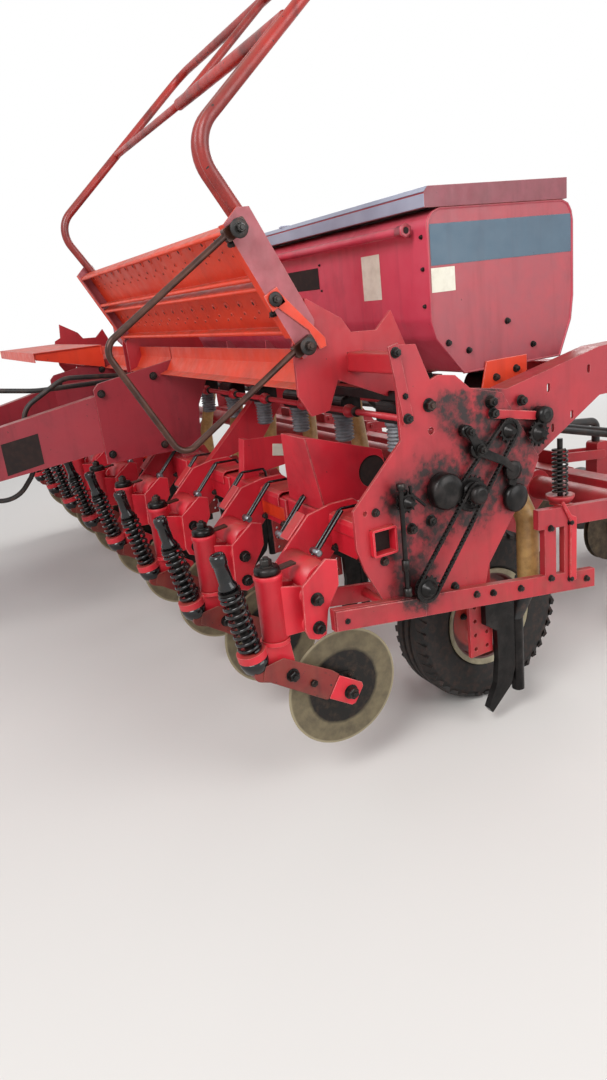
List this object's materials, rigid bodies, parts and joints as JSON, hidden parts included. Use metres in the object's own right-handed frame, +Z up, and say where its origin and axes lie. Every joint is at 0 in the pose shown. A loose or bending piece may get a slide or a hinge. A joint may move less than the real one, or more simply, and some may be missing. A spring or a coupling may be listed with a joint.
{
  "type": "row crop planter",
  "caption": "Trailed no-till row crop planter with drawbar, sprung swivelling coulters, full-width hopper, folding loading platform and trailing seeding units.",
  "frame": {"origin": "on the ground under the tyres, midway between the two sides and midway between the hitch and the rear press wheels", "axes": "+X towards the near side of the picture, which has the chain drive, +Y to the rear, +Z up"},
  "size_m": [5.106, 5.2599, 3.082],
  "materials": {
    "red_paint": "worn semi-gloss red paint with dust",
    "black_steel": "greasy black steel",
    "disc_steel": "ground steel with a dusty rim",
    "tyre_rubber": "dusty black rubber",
    "black_rubber": "matte black rubber",
    "amber_plastic": "dusty amber plastic",
    "black_plastic": "ribbed black plastic",
    "rusty_steel": "rusty round bar"
  },
  "bodies": {
    "frame": {"coulter_arms": "red_paint", "coulter_brackets": "red_paint", "coulter_clamps": "red_paint", "coulter_rods": "black_steel", "coulter_springs": "black_steel", "cross_tubes": "red_paint", "deck_sheets": "red_paint", "drawbar_beams": "red_paint", "drawbar_plates": "red_paint", "drive_train": "black_steel", "feed_tubes": "amber_plastic", "front_toolbar": "red_paint", "furrow_shanks": "red_paint", "hitch_tongue": "red_paint", "hopper_brackets": "red_paint", "hopper_handrail": "red_paint", "hopper_shell": "red_paint", "hydraulic_hoses": "black_rubber", "jack_sleeve": "red_paint", "metering_units": "black_steel", "opener_discs": "disc_steel", "platform_brackets": "red_paint", "rear_arms": "red_paint", "row_frames": "red_paint", "row_links": "red_paint", "seed_tubes": "black_plastic", "shank_brackets": "red_paint", "side_plates": "red_paint", "side_rails": "red_paint", "toolbar_brackets": "red_paint", "tube_boots": "black_rubber", "wheel_carriers": "red_paint"},
    "coulter_1": {"coulter_disc_1": "disc_steel"},
    "coulter_2": {"coulter_disc_2": "disc_steel"},
    "coulter_3": {"coulter_disc_3": "disc_steel"},
    "coulter_4": {"coulter_disc_4": "disc_steel"},
    "coulter_5": {"coulter_disc_5": "disc_steel"},
    "coulter_6": {"coulter_disc_6": "disc_steel"},
    "coulter_7": {"coulter_disc_7": "disc_steel"},
    "coulter_8": {"coulter_disc_8": "disc_steel"},
    "coulter_9": {"coulter_disc_9": "disc_steel"},
    "press_1": {"press_wheel_1": "black_rubber"},
    "press_2": {"press_wheel_2": "black_rubber"},
    "press_3": {"press_wheel_3": "black_rubber"},
    "press_4": {"press_wheel_4": "black_rubber"},
    "press_5": {"press_wheel_5": "black_rubber"},
    "press_6": {"press_wheel_6": "black_rubber"},
    "press_7": {"press_wheel_7": "black_rubber"},
    "press_8": {"press_wheel_8": "black_rubber"},
    "press_9": {"press_wheel_9": "black_rubber"},
    "wheel_near": {"wheel_tyre_near": "tyre_rubber", "wheel_rim_near": "red_paint"},
    "wheel_far": {"wheel_tyre_far": "tyre_rubber", "wheel_rim_far": "red_paint"},
    "platform": {"platform_sides": "red_paint", "platform_planks": "red_paint", "platform_rail": "red_paint", "platform_step": "rusty_steel"},
    "lid": {"hopper_lid": "red_paint"},
    "jack": {"jack_leg": "red_paint"}
  },
  "joints": [
    {"name": "coulter_1_spin", "type": "hinge", "parent": "frame", "child": "coulter_1", "pos_m": [2.4, -0.153, 0.414], "axis": [1, 0, 0], "continuous": true},
    {"name": "coulter_2_spin", "type": "hinge", "parent": "frame", "child": "coulter_2", "pos_m": [1.8, -0.153, 0.414], "axis": [1, 0, 0], "continuous": true},
    {"name": "coulter_3_spin", "type": "hinge", "parent": "frame", "child": "coulter_3", "pos_m": [1.2, -0.153, 0.414], "axis": [1, 0, 0], "continuous": true},
    {"name": "coulter_4_spin", "type": "hinge", "parent": "frame", "child": "coulter_4", "pos_m": [0.6, -0.153, 0.414], "axis": [1, 0, 0], "continuous": true},
    {"name": "coulter_5_spin", "type": "hinge", "parent": "frame", "child": "coulter_5", "pos_m": [0, -0.153, 0.414], "axis": [1, 0, 0], "continuous": true},
    {"name": "coulter_6_spin", "type": "hinge", "parent": "frame", "child": "coulter_6", "pos_m": [-0.6, -0.153, 0.414], "axis": [1, 0, 0], "continuous": true},
    {"name": "coulter_7_spin", "type": "hinge", "parent": "frame", "child": "coulter_7", "pos_m": [-1.2, -0.153, 0.414], "axis": [1, 0, 0], "continuous": true},
    {"name": "coulter_8_spin", "type": "hinge", "parent": "frame", "child": "coulter_8", "pos_m": [-1.8, -0.153, 0.414], "axis": [1, 0, 0], "continuous": true},
    {"name": "coulter_9_spin", "type": "hinge", "parent": "frame", "child": "coulter_9", "pos_m": [-2.4, -0.153, 0.414], "axis": [1, 0, 0], "continuous": true},
    {"name": "press_1_spin", "type": "hinge", "parent": "frame", "child": "press_1", "pos_m": [2.4, 2.4, 0.35], "axis": [1, 0, 0], "continuous": true},
    {"name": "press_2_spin", "type": "hinge", "parent": "frame", "child": "press_2", "pos_m": [1.8, 2.4, 0.35], "axis": [1, 0, 0], "continuous": true},
    {"name": "press_3_spin", "type": "hinge", "parent": "frame", "child": "press_3", "pos_m": [1.2, 2.4, 0.35], "axis": [1, 0, 0], "continuous": true},
    {"name": "press_4_spin", "type": "hinge", "parent": "frame", "child": "press_4", "pos_m": [0.6, 2.4, 0.35], "axis": [1, 0, 0], "continuous": true},
    {"name": "press_5_spin", "type": "hinge", "parent": "frame", "child": "press_5", "pos_m": [0, 2.4, 0.35], "axis": [1, 0, 0], "continuous": true},
    {"name": "press_6_spin", "type": "hinge", "parent": "frame", "child": "press_6", "pos_m": [-0.6, 2.4, 0.35], "axis": [1, 0, 0], "continuous": true},
    {"name": "press_7_spin", "type": "hinge", "parent": "frame", "child": "press_7", "pos_m": [-1.2, 2.4, 0.35], "axis": [1, 0, 0], "continuous": true},
    {"name": "press_8_spin", "type": "hinge", "parent": "frame", "child": "press_8", "pos_m": [-1.8, 2.4, 0.35], "axis": [1, 0, 0], "continuous": true},
    {"name": "press_9_spin", "type": "hinge", "parent": "frame", "child": "press_9", "pos_m": [-2.4, 2.4, 0.35], "axis": [1, 0, 0], "continuous": true},
    {"name": "wheel_near_spin", "type": "hinge", "parent": "frame", "child": "wheel_near", "pos_m": [2.15, 0.69, 0.385], "axis": [1, 0, 0], "continuous": true},
    {"name": "wheel_far_spin", "type": "hinge", "parent": "frame", "child": "wheel_far", "pos_m": [-2.15, 0.69, 0.385], "axis": [1, 0, 0], "continuous": true},
    {"name": "platform_fold", "type": "hinge", "parent": "frame", "child": "platform", "pos_m": [1.1, -0.073, 1.642], "axis": [1, 0, 0], "range_deg": [0, 62.4]},
    {"name": "lid_lift", "type": "hinge", "parent": "frame", "child": "lid", "pos_m": [0, 1.156, 2.08], "axis": [-1, 0, 0], "range_deg": [0, 95]},
    {"name": "jack_extend", "type": "slide", "parent": "frame", "child": "jack", "axis": [0, 0, 1], "range_m": [0, 0.35]}
  ]
}
